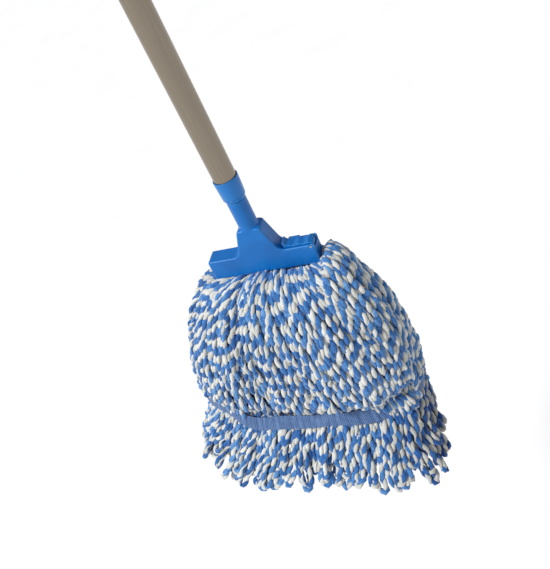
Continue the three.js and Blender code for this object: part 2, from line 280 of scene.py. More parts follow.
def moulded_plastic(name, dark, pale, edge_highlight_colour, roughness):
    material, tree, shader = finish_material(name, Roughness=roughness, IOR=1.49,
                                             Specular_IOR_Level=0.34)
    tone = ramp(tree, noise(tree, 28, 3), [(0.35, dark), (0.65, pale)])
    pointed = node(tree, "NewGeometry").outputs["Pointiness"]
    # Painted highlight: pointed edges are mixed toward a paler blue, as if light caught them.
    edge = ramp(tree, pointed, [(edge_starts, (0, 0, 0)), (edge_fully_highlit, (most_edge_highlight,) * 3)])
    mix = node(tree, "Mix", data_type="RGBA")
    tree.links.new(edge, mix.inputs["Factor"])
    tree.links.new(tone, mix.inputs["A"])
    mix.inputs["B"].default_value = (*edge_highlight_colour, 1)
    tree.links.new(mix.outputs["Result"], shader.inputs["Base Color"])
    bump(tree, shader, noise(tree, 900, 2), 0.12, 0.4 * MM)
    return material


# The third colour is the painted edge highlight.
blue_plastic = moulded_plastic("blue_plastic_moulded", srgb("0060AC"), srgb("006CBA"),
                               srgb("3A8AD0"), 0.33)

# %% [markdown]
# ### Metal tube and pins
# The tube is drawn aluminium under a warm grey satin lacquer, and fine lines run along it. The lines
# are a noise that is stretched along the tube. The pins are bare ground steel, with no direction.

# %% Metals
def drawn_metal(name, dark, pale, roughness, metallic, stretch):
    material, tree, shader = finish_material(name, Roughness=roughness, Metallic=metallic)
    lines = noise(tree, 60, 4, stretch=stretch)
    colour = ramp(tree, lines, [(0.3, dark), (0.7, pale)])
    tree.links.new(colour, shader.inputs["Base Color"])
    bump(tree, shader, lines, 0.06, 0.2 * MM)
    return material


tube_metal = drawn_metal("tube_metal_drawn", srgb("877D6F"), srgb("8F8576"), 0.28, 0.75, (12, 12, 0.25))
pin_steel = drawn_metal("pin_steel_ground", srgb("9A9C9E"), srgb("B9BCC0"), 0.28, 1.0, (8, 8, 8))

# %% [markdown]
# ### Yarn
# The yarn is two soft plies of microfibre and cotton, one blue and one off-white, twisted round each
# other. Fibres run along each ply at a slant, so their pattern follows the strand's own map: across is
# the way round the ply, and along is its length. Each strand has its own tone, kept as an attribute;
# in the fringe that attribute also carries painted shade, lowered under the fold at the front right.
# Soft patches of paler and deeper dye lie over neighbouring strands alike.

# %% Yarn
tone_share, patch_share, fibre_share, darkest = 0.45, 0.7, 1.1, -0.63


def weighted(tree, value, share, base):
    """value * share + base, where base is a number or another value."""
    made = node(tree, "Math", operation="MULTIPLY_ADD")
    tree.links.new(value, made.inputs[0])
    made.inputs[1].default_value = share
    if isinstance(base, float):
        made.inputs[2].default_value = base
    else:
        tree.links.new(base, made.inputs[2])
    return made.outputs[0]


def yarn_ply(name, deep, middle, pale):
    material, tree, shader = finish_material(name, Roughness=0.92, Sheen_Weight=0.35,
                                             Sheen_Roughness=0.5, Specular_IOR_Level=0.15)
    strand_map = node(tree, "UVMap", uv_map="along_and_round").outputs["UV"]
    fibres = noise(tree, 1.0, 5, vector=strand_map, stretch=(20, 330, 1), slant=0.4)
    tone = node(tree, "Attribute", attribute_name="tone").outputs["Fac"]
    dyed = weighted(tree, noise(tree, 150, 2), patch_share,
                    weighted(tree, fibres, fibre_share, darkest))
    blend = weighted(tree, tone, tone_share, dyed)
    colour = ramp(tree, blend, [(0.1, deep), (0.5, middle), (0.9, pale)])
    tree.links.new(colour, shader.inputs["Base Color"])
    bump(tree, shader, fibres, 0.5, 0.8 * MM)
    return material


blue_ply = yarn_ply("yarn_blue_ply", srgb("164788"), srgb("3A74B4"), srgb("70A2D4"))
white_ply = yarn_ply("yarn_white_ply", srgb("AFB0AA"), srgb("D0D1CC"), srgb("E2E3DF"))

# %% [markdown]
# ## Hard pieces
# The CAD gives the hard pieces their true shapes in flat faces. A copy of each is merged, so that its
# faces share their corners, and is then finished in the way that suits it. The round tube only needs
# smooth shading.

# %% Helper: a copy of a CAD piece
def merged_copy(cad_name, name):
    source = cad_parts[cad_name]
    piece = bpy.data.objects.new(name, source.data.copy())
    bpy.context.collection.objects.link(piece)
    piece.data.materials.clear()
    chosen(piece)
    bpy.ops.object.mode_set(mode="EDIT")
    bpy.ops.mesh.select_all(action="SELECT")
    bpy.ops.mesh.remove_doubles(threshold=weld_distance)
    bpy.ops.object.mode_set(mode="OBJECT")
    return piece


def apply_modifier(piece, kind, **settings):
    modifier = piece.modifiers.new(kind.lower(), kind)
    for key, value in settings.items():
        setattr(modifier, key, value)
    chosen(piece)
    bpy.ops.object.modifier_apply(modifier=modifier.name)


def finish_piece(piece, body, slot, *cad_names, materials):
    for material in materials:
        piece.data.materials.append(material)
    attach(piece, body)
    if cad_names:
        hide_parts(*cad_names)
    piece.data.calc_loop_triangles()
    print(piece.name, len(piece.data.loop_triangles), "triangles")


# %% The tube
tube = merged_copy("handle_tube", "tube_drawn")
chosen(tube)
bpy.ops.object.shade_smooth_by_angle(angle=math.radians(35))
finish_piece(tube, "handle", "tube_metal", "handle_tube", materials=[tube_metal])

# %% [markdown]
# ### Clamp, jaw, lever and cap
# A mould leaves a small radius on every edge and inner corner. A bevel could round them, but these
# pieces have cuts that meet at all angles, where a bevel tangles. They are remade in fine even cells
# and relaxed, which melts each edge alike and leaves the flat faces where they were.

# %% The moulded pieces
def moulded(cad_name, name, body, cell, relaxing):
    piece = merged_copy(cad_name, name)
    apply_modifier(piece, "REMESH", mode="VOXEL", voxel_size=cell * MM)
    apply_modifier(piece, "SMOOTH", factor=0.5, iterations=relaxing)
    chosen(piece)
    bpy.ops.object.shade_smooth()
    finish_piece(piece, body, "blue_plastic", cad_name, materials=[blue_plastic])
    return piece


moulded("holder_body", "clamp_moulded", "head", 0.75, 12)
moulded("rear_jaw", "jaw_moulded", "jaw", 0.6, 4)
moulded("release_lever", "lever_moulded", "lever", 0.4, 4)
moulded("hanger_cap", "cap_moulded", "handle", 0.5, 4)

# %% [markdown]
# ### Collar and grip
# These two are thin round walls with the tube just inside them. Relaxed cells would shrink a thin wall
# into the tube, so their coplanar faces are dissolved and the edges that are left get a true bevel.

# %% The round pieces
dissolve_angle, sharp_angle = math.radians(1), math.radians(28)


def bevelled(cad_name, name, body, width):
    piece = merged_copy(cad_name, name)
    apply_modifier(piece, "DECIMATE", decimate_type="DISSOLVE", angle_limit=dissolve_angle)
    apply_modifier(piece, "BEVEL", width=width * MM, segments=3, limit_method="ANGLE",
                   angle_limit=sharp_angle)
    chosen(piece)
    bpy.ops.object.shade_smooth_by_angle(angle=math.radians(40))
    finish_piece(piece, body, "blue_plastic", cad_name, materials=[blue_plastic])
    return piece


bevelled("thread_ferrule", "collar_moulded", "handle", 0.7)
bevelled("grip_sleeve", "sleeve_moulded", "handle", 0.5)

# %% [markdown]
# ### Swing tag
# The tag is coated card with a printed pattern: a wide bar and a few thin lines, as a plain label. The
# print could be faces on the card, but ink has no thickness, so it is a pattern across the card. The
# Mapping node turns it to the card's own slope.

# %% Tag card: its own axes
card_print, tree, shader = finish_material("tag_card_print", Roughness=0.45)
card_low, card_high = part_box("tag_card")
hang_angle = math.atan2(9, 19)
placed = node(tree, "Mapping", vector_type="TEXTURE")
placed.inputs["Location"].default_value = (card_low + card_high) / 2
placed.inputs["Rotation"].default_value = (0, hang_angle, 0)
tree.links.new(node(tree, "TexCoord").outputs["Object"], placed.inputs["Vector"])
card_axes = node(tree, "SeparateXYZ")
tree.links.new(placed.outputs["Vector"], card_axes.inputs[0])


# %% Tag card: the print
def stripe(along, low, high):
    """1 between two places across the card, and 0 outside them."""
    inside = node(tree, "Math", operation="COMPARE")
    tree.links.new(card_axes.outputs[along], inside.inputs[0])
    inside.inputs[1].default_value = (low + high) / 2 * MM
    inside.inputs[2].default_value = (high - low) / 2 * MM
    return inside.outputs[0]


def combined(a, b, operation):
    made = node(tree, "Math", operation=operation)
    tree.links.new(a, made.inputs[0])
    tree.links.new(b, made.inputs[1])
    return made.outputs[0]


# each bar's left and right side, foot and head, from the middle of the card
print_bars = [(-9, -1, -19, 11), (2.0, 3.4, -19, 11), (5.2, 6.2, -19, 4), (8.0, 9.0, -19, 7)]
printed = None
for left, right_side, foot, head_end in print_bars:
    bar = combined(stripe("X", left, right_side), stripe("Z", foot, head_end), "MULTIPLY")
    printed = bar if printed is None else combined(printed, bar, "MAXIMUM")
paper = ramp(tree, noise(tree, 600, 3), [(0.3, srgb("D9DAD2")), (0.7, srgb("E6E7E0"))])
ink = node(tree, "Mix", data_type="RGBA")
tree.links.new(printed, ink.inputs["Factor"])
tree.links.new(paper, ink.inputs["A"])
ink.inputs["B"].default_value = (*srgb("1F5FAE"), 1)
tree.links.new(ink.outputs["Result"], shader.inputs["Base Color"])
bump(tree, shader, noise(tree, 900, 3), 0.15, 0.1 * MM)
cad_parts["tag_card"].data.materials[0] = card_print

# %% [markdown]
# ### String finish and pins
# The string is twisted cotton, and slanting bands of painted shade lie across it: paler on the tops of
# the twists and greyer in the grooves between them. The three small metal parts keep their CAD shapes,
# which a lathe or a punch would leave as plain.

# %% String finish
cotton, tree, shader = finish_material("tag_string_cotton", Roughness=0.85, Sheen_Weight=0.2)
twist_shading = node(tree, "TexWave", wave_type="BANDS", bands_direction="DIAGONAL")
twist_shading.inputs["Scale"].default_value = 260
twist_shading.inputs["Distortion"].default_value = 2
tree.links.new(node(tree, "TexCoord").outputs["Object"], twist_shading.inputs["Vector"])
# Painted shade: grey in the grooves between the twists, paler on their tops.
tree.links.new(ramp(tree, twist_shading.outputs["Fac"], [(0.2, srgb("C9CAC2")), (0.8, srgb("F0F0EA"))]),
               shader.inputs["Base Color"])
bump(tree, shader, twist_shading.outputs["Fac"], 0.6, 0.2 * MM)
tag_string.data.materials.append(cotton)

# %% Pins
for cad_name in ("jaw_pin", "lever_pin", "tag_eyelet"):
    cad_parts[cad_name].data.materials[0] = pin_steel

# %% [markdown]
# ## The skirt's shape
# The yarn leaves the clamp's narrow mouth, swells out to a wide skirt, is drawn in by the band and
# spreads again. A loft through a few ovals would give one smooth skin, but hundreds of strands have to
# find their place on it. So each level is a rounded oval whose half width, half depth and squareness
# change with height, and the shape is kept as a table: for every level, points at equal shares of the
# way round, counted from the middle of the front. All of it is in millimetres below the arms.

# %% The skirt's measures
mouth_half_width, swell_width, flare_width = 62, 96, 26
mouth_half_depth, swell_depth, flare_depth = 11, 75, 40
full_height, flare_top = -224, -239
gather_height, gather_depth, gather_above, gather_below = -212, 16, 14, 26
hang_x, hang_y = -16, -6
skirt_turn = math.radians(-5.5)
level_step, below_hem = 1.0, 20
levels = np.arange(yarn_top, hem_foot - below_hem, -level_step)
shares = np.linspace(0, 1, 721)


# %% One level of the skirt
def skirt_ring(level):
    """Points at equal shares round one level, and its girth."""
    fall = min(max((yarn_top - level) / (yarn_top - full_height), 0), 1)
    spread = max((flare_top - level) / (flare_top - hem_foot), 0)
    reach = gather_above if level > gather_height else gather_below
    gather = gather_depth * math.exp(-((level - gather_height) / reach) ** 2)

    def swell(power):
        return math.sin(math.pi / 2 * fall ** power)

    half_width = mouth_half_width + swell_width * swell(0.55) + flare_width * spread ** 1.4
    half_depth = mouth_half_depth + swell_depth * swell(0.45) + flare_depth * spread ** 1.5 - gather
    middle = (hang_x * fall - 4 * spread, hang_y * fall - 6 * spread)
    squareness = 2 / (2.3 + 0.5 * fall + 0.2 * min(spread, 1))
    angle = np.linspace(-math.pi / 2, 1.5 * math.pi, 1441)
    x = middle[0] + half_width * np.sign(np.cos(angle)) * np.abs(np.cos(angle)) ** squareness
    y = middle[1] + half_depth * np.sign(np.sin(angle)) * np.abs(np.sin(angle)) ** squareness
    along = np.concatenate([[0], np.cumsum(np.hypot(np.diff(x), np.diff(y)))])
    x, y = (np.interp(shares * along[-1], along, c) for c in (x, y))
    turned_x = x * math.cos(skirt_turn) - y * math.sin(skirt_turn)
    turned_y = x * math.sin(skirt_turn) + y * math.cos(skirt_turn)
    return np.stack([turned_x, turned_y, np.full_like(x, level)], 1), along[-1]


rings = [skirt_ring(level) for level in levels]
skirt_points = np.stack([points for points, _ in rings])
skirt_girth = np.array([girth for _, girth in rings])

# %% [markdown]
# ### Where the skirt isn't even
# Beside the clamp's right end the strands stand up before they fall. The band is drawn in hardest at
# the front right, under a fold of strands, and the back right hangs flatter.

# %% Uneven places
stand_up, stand_level, stand_reach = 14, -33, 16
past_the_end = np.clip((skirt_points[..., 0] - 60) / 12, 0, 1)
near_the_top = np.exp(-((skirt_points[..., 2] - stand_level) / stand_reach) ** 2)
skirt_points[..., 2] += stand_up * past_the_end ** 2 * near_the_top


def around(share, middle, width):
    """1 at one place on the way round, falling to 0 on both sides of it."""
    apart = (share - middle + 0.5) % 1.0 - 0.5
    return np.exp(-(apart / width) ** 2)


inward = -skirt_points[..., :2] + [[hang_x, hang_y]]
inward /= np.linalg.norm(inward, axis=-1, keepdims=True)
fold = 15 * np.exp(-((levels[:, None] - gather_height) / gather_above) ** 2)
flat_back = 8 * np.clip((-levels[:, None] - 45) / 40, 0, 1)
drawn_in = fold * around(shares, 0.17, 0.05) + flat_back * around(shares, 0.31, 0.09)
skirt_points[..., :2] += inward * drawn_in[..., None]

# %% Outward and sideways on the skirt
down = np.gradient(skirt_points, axis=0)
across = (np.roll(skirt_points[:, :-1], -1, 1) - np.roll(skirt_points[:, :-1], 1, 1))
across = np.concatenate([across, across[:, :1]], 1)
outward = np.cross(down, across)
outward /= np.linalg.norm(outward, axis=2, keepdims=True)
if (outward[100, :, :2] * skirt_points[100, :, :2]).sum(1).mean() < 0:
    outward = -outward


def on_skirt(share, level):
    """Point, outward direction and sideways direction at shares and levels (arrays alike)."""
    row = np.clip((yarn_top - level) / level_step, 0, len(levels) - 1.001)
    column = (share % 1.0) * (len(shares) - 1)
    r0, c0 = row.astype(int), np.minimum(column.astype(int), len(shares) - 2)
    fr, fc = (row - r0)[..., None], (column - c0)[..., None]

    def look(table):
        return ((table[r0, c0] * (1 - fr) + table[r0 + 1, c0] * fr) * (1 - fc)
                + (table[r0, c0 + 1] * (1 - fr) + table[r0 + 1, c0 + 1] * fr) * fc)

    side = look(across)
    side /= np.linalg.norm(side, axis=-1, keepdims=True)
    return look(skirt_points), look(outward), side


def girth_at(level):
    return np.interp(-level, -levels, skirt_girth)


print("girth at the mouth, the band and the hem",
      [round(float(girth_at(v))) for v in (yarn_top, band_top, hem_foot)])

# %% [markdown]
# ## Tubes for the yarn
# There are some hundreds of strands, each with dozens of rings. By hand each one could be a curve with
# a round bevel. The rings are worked out for all strands at once instead, because every strand has its
# own wander, twist and thick and thin places, and the arithmetic is the same for each. A ply is a tube
# with a point at each end, so that no end is open.

# %% Helper: lines in equal steps
def resampled(lines, count):
    """Every line again, with count points at equal distances, and how far along each point is."""
    steps = np.linalg.norm(np.diff(lines, axis=1), axis=2)
    along = np.concatenate([np.zeros((len(lines), 1)), np.cumsum(steps, 1)], 1)
    result = np.empty((len(lines), count, 3))
    distance = np.empty((len(lines), count))
    for k, (line, at) in enumerate(zip(lines, along)):
        wanted = np.linspace(0, at[-1], count)
        distance[k] = wanted
        for axis in range(3):
            result[k, :, axis] = np.interp(wanted, at, line[:, axis])
    return result, distance


def unit(vectors):
    return vectors / np.maximum(np.linalg.norm(vectors, axis=-1, keepdims=True), 1e-12)


# %% Helper: rings round lines
tip_share = 0.7


def tube_rings(lines, radii, sides):
    """Rings of corners along lines, carried along without twisting, and the two tips."""
    tangent = unit(np.gradient(lines, axis=1))
    normal = np.empty_like(lines)
    guess = np.where(np.abs(tangent[:, :1, 2:]) < 0.9, [[[0, 0, 1.0]]], [[[1.0, 0, 0]]])[:, 0]
    for k in range(lines.shape[1]):
        t = tangent[:, k]
        guess = unit(guess - t * (guess * t).sum(1, keepdims=True))
        normal[:, k] = guess
    binormal = np.cross(tangent, normal)
    turn = np.arange(sides) * 2 * math.pi / sides
    ring = (np.cos(turn)[:, None] * normal[:, :, None] + np.sin(turn)[:, None] * binormal[:, :, None])
    body = lines[:, :, None] + radii[:, :, None, None] * ring
    tips = np.stack([lines[:, 0] - tangent[:, 0] * radii[:, :1] * tip_share,
                     lines[:, -1] + tangent[:, -1] * radii[:, -1:] * tip_share], 1)
    return body, tips


# %% Helper: the faces and the map of one kind of tube
def tube_faces(count, sides):
    """Quads along a tube, and the fans to its tips, as corner numbers of one tube."""
    i, j = np.meshgrid(np.arange(count - 1), np.arange(sides), indexing="ij")
    k = (j + 1) % sides
    quads = np.stack([i * sides + j, i * sides + k, (i + 1) * sides + k, (i + 1) * sides + j], -1)
    j = np.arange(sides)
    k = (j + 1) % sides
    foot_tip, head_tip, last_ring = count * sides, count * sides + 1, (count - 1) * sides
    first = np.stack([np.full(sides, foot_tip), k, j], -1)
    last = np.stack([np.full(sides, head_tip), last_ring + j, last_ring + k], -1)
    return quads, np.concatenate([first, last])


def tube_map(along, count, sides):
    """UV corners of many tubes: round in shares of a turn, and along in metres."""
    i, j = np.meshgrid(np.arange(count - 1), np.arange(sides), indexing="ij")
    u = np.stack([j, j + 1, j + 1, j], -1) / sides
    v = np.stack([along[:, i], along[:, i], along[:, i + 1], along[:, i + 1]], -1)
    quad_map = np.stack([np.broadcast_to(u, v.shape), v * MM], -1)
    tip_map = np.zeros((len(along), 2 * sides, 3, 2))
    tip_map[:, sides:, :, 1] = along[:, -1][:, None, None] * MM
    tip_map[..., 0] = 0.5
    return quad_map.reshape(-1, 2), tip_map.reshape(-1, 2)


# %% Helper: one piece of many tubes
def tubes(name, groups, sides):
    """One piece of many tubes. groups are (lines, radii, tone, material number)."""
    vertices, quads, fans, quad_maps, tip_maps, tones = [], [], [], [], [], []
    quad_numbers, fan_numbers = [], []
    start = 0
    for lines, radii, tone, number in groups:
        body, tips = tube_rings(lines, radii, sides)
        strands, count = lines.shape[:2]
        per = count * sides + 2
        vertices.append(np.concatenate([body.reshape(strands, -1, 3), tips], 1).reshape(-1, 3))
        tones.append(np.repeat(tone, per))
        base = start + np.arange(strands)[:, None, None] * per
        quad, fan = tube_faces(count, sides)
        quads.append((base[..., None] + quad[None]).reshape(-1, 4))
        fans.append((base + fan[None]).reshape(-1, 3))
        quad_map, tip_map = tube_map(resampled(lines, count)[1], count, sides)
        quad_maps.append(quad_map)
        tip_maps.append(tip_map)
        quad_numbers.append(np.full(len(quads[-1]), number))
        fan_numbers.append(np.full(len(fans[-1]), number))
        start += strands * per
    vertices = np.concatenate(vertices) * MM + np.array([0, 0, arm_top])
    quads, fans = np.concatenate(quads), np.concatenate(fans)
    mesh = mesh_of_faces(name, vertices, quads, fans, np.concatenate(quad_numbers + fan_numbers))
    layer = mesh.uv_layers.new(name="along_and_round")
    layer.uv.foreach_set("vector", np.concatenate(quad_maps + tip_maps).astype(np.float32).ravel())
    attribute = mesh.attributes.new("tone", "FLOAT", "POINT")
    attribute.data.foreach_set("value", np.concatenate(tones).astype(np.float32))
    mesh.validate()
    mesh.shade_smooth()
    piece = bpy.data.objects.new(name, mesh)
    bpy.context.collection.objects.link(piece)
    return piece


def mesh_of_faces(name, vertices, quads, fans, material_numbers):
    mesh = bpy.data.meshes.new(name)
    mesh.vertices.add(len(vertices))
    mesh.vertices.foreach_set("co", vertices.astype(np.float32).ravel())
    corners = np.concatenate([quads.ravel(), fans.ravel()]).astype(np.int32)
    totals = np.concatenate([np.full(len(quads), 4), np.full(len(fans), 3)]).astype(np.int32)
    starts = np.concatenate([[0], np.cumsum(totals)[:-1]]).astype(np.int32)
    mesh.loops.add(len(corners))
    mesh.loops.foreach_set("vertex_index", corners)
    mesh.polygons.add(len(totals))
    mesh.polygons.foreach_set("loop_start", starts)
    mesh.polygons.foreach_set("loop_total", totals)
    mesh.polygons.foreach_set("material_index", material_numbers.astype(np.int32))
    mesh.update(calc_edges=True)
    return mesh


# %% [markdown]
# ## The twist
# Two plies go round the strand's line on opposite sides. Each swells where the other thins, so the
# eye sees a row of fat ovals with the other colour's thin line between them, and the thicker ply sits
# nearer to the strand's middle. The pitch, the swelling and the start are drawn for each strand,
# because evenly twisted neighbours would make rows of colour.

# %% Helper: twist two plies round a strand
rng = np.random.default_rng(7)
blue_radius, white_radius = 2.2, 2.0
shortest_pitch, longest_pitch = 20, 27
least_lump, most_lump = 0.40, 0.58
unevenness, swell_slip, ply_overlap = 0.7, 1.3, 0.80
full_circle = 6.28


def two_plies(lines, out, scale, rng):
    """Groups for tubes(): a blue and a white ply round each strand's line."""
    count = len(lines)
    steps = np.linalg.norm(np.diff(lines, axis=1), axis=2)
    along = np.concatenate([np.zeros((count, 1)), np.cumsum(steps, 1)], 1)
    tangent = unit(np.gradient(lines, axis=1))
    normal = unit(out - tangent * (out * tangent).sum(-1, keepdims=True))
    side = np.cross(tangent, normal)
    pitch = rng.uniform(shortest_pitch, longest_pitch, (count, 1))
    turn = 2 * math.pi * along / pitch + rng.uniform(0, 2 * math.pi, (count, 1))
    turn = turn + unevenness * np.sin(along / 23 + rng.uniform(0, full_circle, (count, 1)))
    swell = np.sin(turn + math.pi / 2 + rng.uniform(-swell_slip, swell_slip, (count, 1)))
    lumps = rng.uniform(least_lump, most_lump, (count, 1))
    blue = blue_radius * (1 + lumps * swell) * scale
    white = white_radius * (1 - lumps * swell) * scale
    apart = ply_overlap * (blue + white)
    direction = np.cos(turn)[..., None] * normal + np.sin(turn)[..., None] * side
    blue_line = lines + direction * (apart * white / (blue + white))[..., None]
    white_line = lines - direction * (apart * blue / (blue + white))[..., None]
    tone = rng.uniform(0, 1, count)
    return [(blue_line, blue, tone, 0), (white_line, white, rng.uniform(0, 1, count), 1)]


def wander(count, points, lengths, sizes, rng):
    """Smooth side steps for each strand: sums of slow waves along it."""
    t = np.linspace(0, 1, points)[None]
    result = np.zeros((count, points))
    for length, size in zip(lengths, sizes):
        result += size * np.sin(2 * math.pi * t / length + rng.uniform(0, full_circle, (count, 1)))
    return result


# %% [markdown]
# ## Strands of the skirt
# Each strand follows the skirt from the mouth down to the band. The mouth has room for fewer strands
# than the band, so there some of them dive under the others, and come up where the girth lets them.
# They drift to the right as they fall, puff out just above the band, and tuck in under it. At the
# front right a fold of them hangs over the band, and a small tuft does at the left. A second layer
# fills the gaps. Hair or cloth simulation would settle the strands truly, but not in a short time.

# %% The strands' lines
fine_count = 260
fine_steps = np.linspace(0, 1, fine_count)[None]
golden_share = 0.6180339887
strand_room, dive_depth, dive_ranks = 5.4, 9, 18
thin_at_mouth, thin_until = 0.62, 40
drift_share, drift_at, drift_width = 0.085, 0.03, 0.2
fold_at, fold_width, fold_hang, fold_droop, fold_puff = 0.14, 0.066, 12, 20, 8
tuft_at, tuft_width, tuft_hang, tuft_droop, tuft_puff = -0.14, 0.014, 8, 17, 5
least_puff, puff_above_band, puff_reach = 3.5, 20, 14
tuck_depth, tuck_softness = 6.0, 2.5
in_and_out = ((0.8, 0.37, 0.21), (1.4, 1.0, 0.5))
side_to_side = ((1.3, 0.55, 0.29, 0.17), (2.2, 1.7, 1.1, 0.6))


def thinner_at_mouth(start, level):
    return np.clip(thin_at_mouth + (1 - thin_at_mouth) * (start - level) / thin_until,
                   thin_at_mouth, 1)


def skirt_strands(count, depth, start, foot, points, rng, surfacing=True, radius=1.0):
    """Share, line, outward directions and ply scale of each strand."""
    share = (np.arange(count) + rng.uniform(-0.25, 0.25, count)) / count
    rank = np.empty(count, int)
    rank[np.argsort([(k * golden_share) % 1 for k in range(count)])] = np.arange(count)
    over = around(share, fold_at, fold_width)[:, None]
    tuft = around(share, tuft_at, tuft_width)[:, None]
    level = start + (foot - fold_hang * over - tuft_hang * tuft - start) * fine_steps
    room = girth_at(level) / strand_room / thinner_at_mouth(start, level)
    hidden = np.clip((rank[:, None] - room) / dive_ranks, 0, 1) if surfacing else 0 * level
    fallen = np.clip((start - level) / (start - foot), 0, 1)
    drift = drift_share * fallen * around(share, drift_at, drift_width)[:, None]
    point, out, side = on_skirt(share[:, None] - 0.01 + drift, level)
    droop = fold_droop * over + tuft_droop * tuft + rng.uniform(-2, 6, (count, 1))
    puffed = np.exp(-((level - band_top - puff_above_band + droop) / puff_reach) ** 2)
    puff = (least_puff + fold_puff * over + tuft_puff * tuft) * puffed
    tuck = -tuck_depth / (1 + np.exp((level - band_top + droop) / tuck_softness))
    layer = rng.uniform(-2, 2, (count, 1))
    inward = (depth * np.clip((start - level) / 25, 0.2, 1)
              + dive_depth * hidden * np.clip((start - level) / 40, 0.2, 1) - puff - tuck + layer)
    inward = inward + wander(count, fine_count, *in_and_out, rng)
    aside = wander(count, fine_count, *side_to_side, rng)
    aside = aside * np.clip((start - level) / 25, 0, 1)
    lines, _ = resampled(point - out * inward[..., None] + side * aside[..., None], points)
    even_levels = np.linspace(start, foot, points)[None].repeat(count, 0)
    out_again = on_skirt(share[:, None] + np.zeros_like(even_levels), even_levels)[1]
    narrow = thinner_at_mouth(start, even_levels) * radius * rng.uniform(0.84, 1.1, (count, 1))
    return share, lines, out_again, narrow


strand_foot = band_foot - 2
outer = skirt_strands(158, 5.8, yarn_top, strand_foot, 84, rng)
inner = skirt_strands(104, 11.5, yarn_top, strand_foot, 56, rng, surfacing=False, radius=1.35)


# %% The front and back yarn
def yarn_piece(name, layers, front, seed, painted_shade=0.0):
    """One piece of the strands on one half, with painted shade darkening the fold at the right."""
    groups = []
    for number, (share, lines, out, scale) in enumerate(layers):
        in_front = (share < 0.25) | (share >= 0.75)
        keep = in_front if front else ~in_front
        plies = two_plies(lines[keep], out[keep], scale[keep], np.random.default_rng(seed + number))
        # Painted shade: strands under the fold at the front right get a lower tone, where shadow falls.
        painted_darkening = painted_shade * around(share[keep], 0.23, 0.08)
        groups += [(line, radii, tone - painted_darkening, material) for line, radii, tone, material in plies]
    return tubes(name, groups, ply_sides)


ply_sides = 7
yarn_plies = [blue_ply, white_ply]
for side_name, front in (("front", True), ("back", False)):
    piece = yarn_piece("yarn_" + side_name + "_strands", [outer], front, 20 + front)
    finish_piece(piece, "head", "yarn", "yarn_" + side_name, materials=yarn_plies)
    piece = yarn_piece("yarn_" + side_name + "_filling", [inner], front, 30 + front)
    finish_piece(piece, "head", "yarn", materials=yarn_plies)

# %% [markdown]
# ## Tail band
# A woven tape is sewn across the strands, front and back, to keep them from tangling. It is a narrow
# sheet that follows the skirt, pinched a little where each row of stitches pulls it between strands.
# A strip of faces with a real thickness shows those pinches and its turned edges. The weave is two
# rows of ribs across each other on the strip's own map, in millimetres.

# %% Band weave
band_weave, tree, shader = finish_material("band_weave", Roughness=0.85, Sheen_Weight=0.3,
                                           Specular_IOR_Level=0.2)
band_map = node(tree, "UVMap", uv_map="along_and_across").outputs["UV"]
ribs = node(tree, "TexWave", wave_type="BANDS", bands_direction="X")
ribs.inputs["Scale"].default_value = 0.14
ribs.inputs["Distortion"].default_value = 0.6
cross_ribs = node(tree, "TexWave", wave_type="BANDS", bands_direction="Y")
cross_ribs.inputs["Scale"].default_value = 0.2
for ribbing in (ribs, cross_ribs):
    tree.links.new(band_map, ribbing.inputs["Vector"])
weave_height = node(tree, "Math", operation="MULTIPLY_ADD")
tree.links.new(ribs.outputs["Fac"], weave_height.inputs[0])
tree.links.new(cross_ribs.outputs["Fac"], weave_height.inputs[1])
mottle = noise(tree, 1.0, 4, vector=band_map, stretch=(0.16, 0.05, 1))
tree.links.new(mottle, weave_height.inputs[2])
band_blues = [(0.45, srgb("2C4A78")), (1.0, srgb("6986B2"))]
tree.links.new(ramp(tree, weave_height.outputs[0], band_blues), shader.inputs["Base Color"])
bump(tree, shader, weave_height.outputs[0], 0.5, 0.5 * MM)

# %% Band strips: the shape
band_depth = abs(band_foot - band_top)
band_girth = float(girth_at(band_top))
along_count, across_count = 321, 9
step_up, dip = 7, 5
stitch_spacing, pinch_depth, crown_height, fold_press = 8.2, 0.9, 0.7, 7


def band_points(first_share, last_share, rng):
    """Corners of a strip, row by row across it, and how far along and across each one is."""
    share = np.linspace(first_share, last_share, along_count)[:, None]
    run = (share - first_share) * band_girth
    width_at = np.linspace(0, 1, across_count)[None]
    sag = 1.8 * np.sin(run / 37 + rng.uniform(0, 6)) + 0.9 * np.sin(run / 13 + rng.uniform(0, 6))
    step = step_up / (1 + np.exp((share + 0.12) / 0.006)) / (1 + np.exp((-0.22 - share) / 0.008))
    step = step - dip * around(share, -0.07, 0.04)
    level = band_top + sag + step - width_at * band_depth * (1 + 0.03 * np.sin(run / 21))
    point, out, _ = on_skirt(share + 0 * width_at, level)
    between = run / stitch_spacing * math.pi + 0.6 * np.sin(run / 50)
    pinch = pinch_depth * np.abs(np.sin(between)) ** 0.7
    crown = crown_height * (1 - (2 * width_at - 1) ** 2)
    under_fold = fold_press * around(share, 0.185, 0.055)
    points = point + out * (-0.6 + pinch + crown - under_fold)[..., None]
    flat_map = np.stack(np.broadcast_arrays(run, width_at * band_depth), -1)
    return points.reshape(-1, 3), flat_map.reshape(-1, 2)


